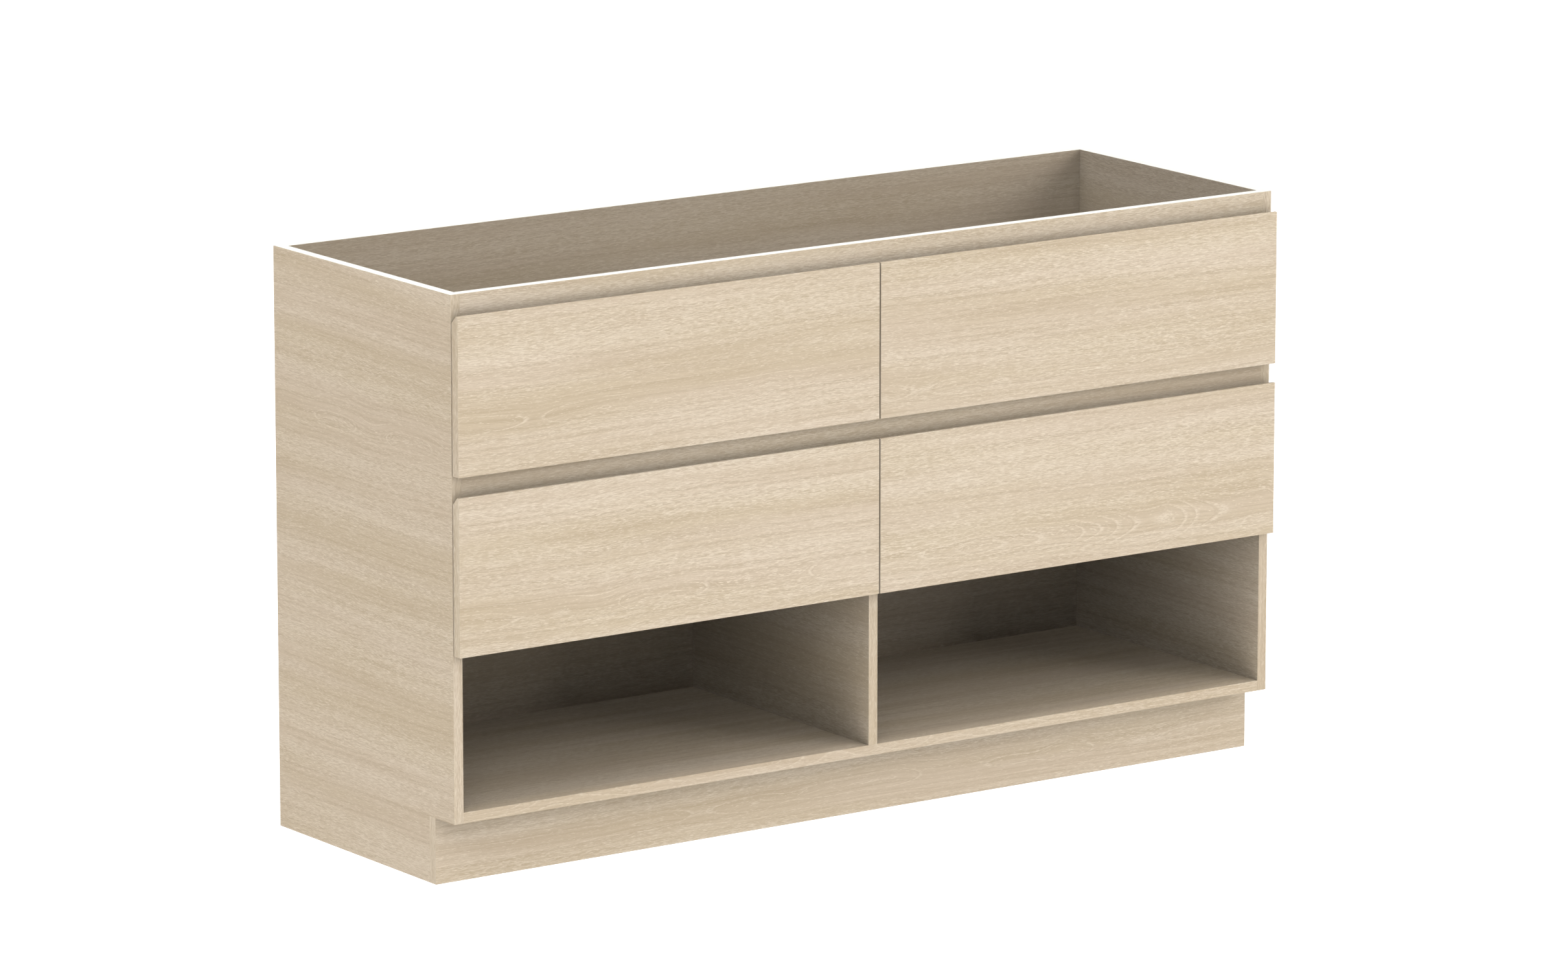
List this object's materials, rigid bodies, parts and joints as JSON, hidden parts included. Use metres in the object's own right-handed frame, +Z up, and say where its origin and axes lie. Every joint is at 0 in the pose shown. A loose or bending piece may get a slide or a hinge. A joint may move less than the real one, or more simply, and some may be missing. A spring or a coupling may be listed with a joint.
{
  "type": "bathroom vanity cabinet",
  "caption": "Floor-standing bathroom vanity base in light oak laminate with handleless full-extension drawers over open bays, a recessed kick and an open top for a benchtop.",
  "frame": {"origin": "on the floor, under the middle of the whole width and depth, fronts included", "axes": "+X to the right seen from the front, +Y towards the wall, +Z up"},
  "size_m": [1.488, 0.4964, 0.88],
  "materials": {
    "oak_laminate": "pale limed oak woodgrain laminate, matt, with white edging on the benchtop seats",
    "white_board": "white melamine-faced board, satin",
    "runner_steel": "bright zinc-plated rolled steel"
  },
  "bodies": {
    "cabinet": {"left_side_panel": "oak_laminate", "right_side_panel": "oak_laminate", "back_panel": "oak_laminate", "bottom_shelf": "oak_laminate", "centre_divider": "oak_laminate", "left_bay_top": "oak_laminate", "right_bay_top": "oak_laminate", "top_front_rail": "oak_laminate", "middle_front_rail": "oak_laminate", "kickboard": "oak_laminate", "rear_kick_rail": "oak_laminate", "centre_kick_support": "oak_laminate", "upper_left_runner_left_outer": "runner_steel", "upper_left_runner_right_outer": "runner_steel", "upper_right_runner_left_outer": "runner_steel", "upper_right_runner_right_outer": "runner_steel", "lower_left_runner_left_outer": "runner_steel", "lower_left_runner_right_outer": "runner_steel", "lower_right_runner_left_outer": "runner_steel", "lower_right_runner_right_outer": "runner_steel"},
    "upper_left_drawer": {"upper_left_drawer_front": "oak_laminate", "upper_left_drawer_left_side": "white_board", "upper_left_drawer_right_side": "white_board", "upper_left_drawer_back": "white_board", "upper_left_drawer_base": "white_board", "upper_left_runner_left_inner": "runner_steel", "upper_left_runner_right_inner": "runner_steel"},
    "upper_left_middle_members": {"upper_left_runner_left_middle": "runner_steel", "upper_left_runner_right_middle": "runner_steel"},
    "upper_right_drawer": {"upper_right_drawer_front": "oak_laminate", "upper_right_drawer_left_side": "white_board", "upper_right_drawer_right_side": "white_board", "upper_right_drawer_back": "white_board", "upper_right_drawer_base": "white_board", "upper_right_runner_left_inner": "runner_steel", "upper_right_runner_right_inner": "runner_steel"},
    "upper_right_middle_members": {"upper_right_runner_left_middle": "runner_steel", "upper_right_runner_right_middle": "runner_steel"},
    "lower_left_drawer": {"lower_left_drawer_front": "oak_laminate", "lower_left_drawer_left_side": "white_board", "lower_left_drawer_right_side": "white_board", "lower_left_drawer_back": "white_board", "lower_left_drawer_base": "white_board", "lower_left_runner_left_inner": "runner_steel", "lower_left_runner_right_inner": "runner_steel"},
    "lower_left_middle_members": {"lower_left_runner_left_middle": "runner_steel", "lower_left_runner_right_middle": "runner_steel"},
    "lower_right_drawer": {"lower_right_drawer_front": "oak_laminate", "lower_right_drawer_left_side": "white_board", "lower_right_drawer_right_side": "white_board", "lower_right_drawer_back": "white_board", "lower_right_drawer_base": "white_board", "lower_right_runner_left_inner": "runner_steel", "lower_right_runner_right_inner": "runner_steel"},
    "lower_right_middle_members": {"lower_right_runner_left_middle": "runner_steel", "lower_right_runner_right_middle": "runner_steel"}
  },
  "joints": [
    {"name": "upper_left_drawer_slide", "type": "slide", "parent": "cabinet", "child": "upper_left_drawer", "axis": [0, -1, 0], "range_m": [0, 0.35]},
    {"name": "upper_left_middle_slide", "type": "slide", "parent": "cabinet", "child": "upper_left_middle_members", "axis": [0, -1, 0], "range_m": [0, 0.175]},
    {"name": "upper_right_drawer_slide", "type": "slide", "parent": "cabinet", "child": "upper_right_drawer", "axis": [0, -1, 0], "range_m": [0, 0.35]},
    {"name": "upper_right_middle_slide", "type": "slide", "parent": "cabinet", "child": "upper_right_middle_members", "axis": [0, -1, 0], "range_m": [0, 0.175]},
    {"name": "lower_left_drawer_slide", "type": "slide", "parent": "cabinet", "child": "lower_left_drawer", "axis": [0, -1, 0], "range_m": [0, 0.45]},
    {"name": "lower_left_middle_slide", "type": "slide", "parent": "cabinet", "child": "lower_left_middle_members", "axis": [0, -1, 0], "range_m": [0, 0.225]},
    {"name": "lower_right_drawer_slide", "type": "slide", "parent": "cabinet", "child": "lower_right_drawer", "axis": [0, -1, 0], "range_m": [0, 0.45]},
    {"name": "lower_right_middle_slide", "type": "slide", "parent": "cabinet", "child": "lower_right_middle_members", "axis": [0, -1, 0], "range_m": [0, 0.225]}
  ],
  "couplings": [
    {"joint": "upper_left_middle_slide", "follows": "upper_left_drawer_slide", "ratio": 0.5},
    {"joint": "upper_right_middle_slide", "follows": "upper_right_drawer_slide", "ratio": 0.5},
    {"joint": "lower_left_middle_slide", "follows": "lower_left_drawer_slide", "ratio": 0.5},
    {"joint": "lower_right_middle_slide", "follows": "lower_right_drawer_slide", "ratio": 0.5}
  ]
}
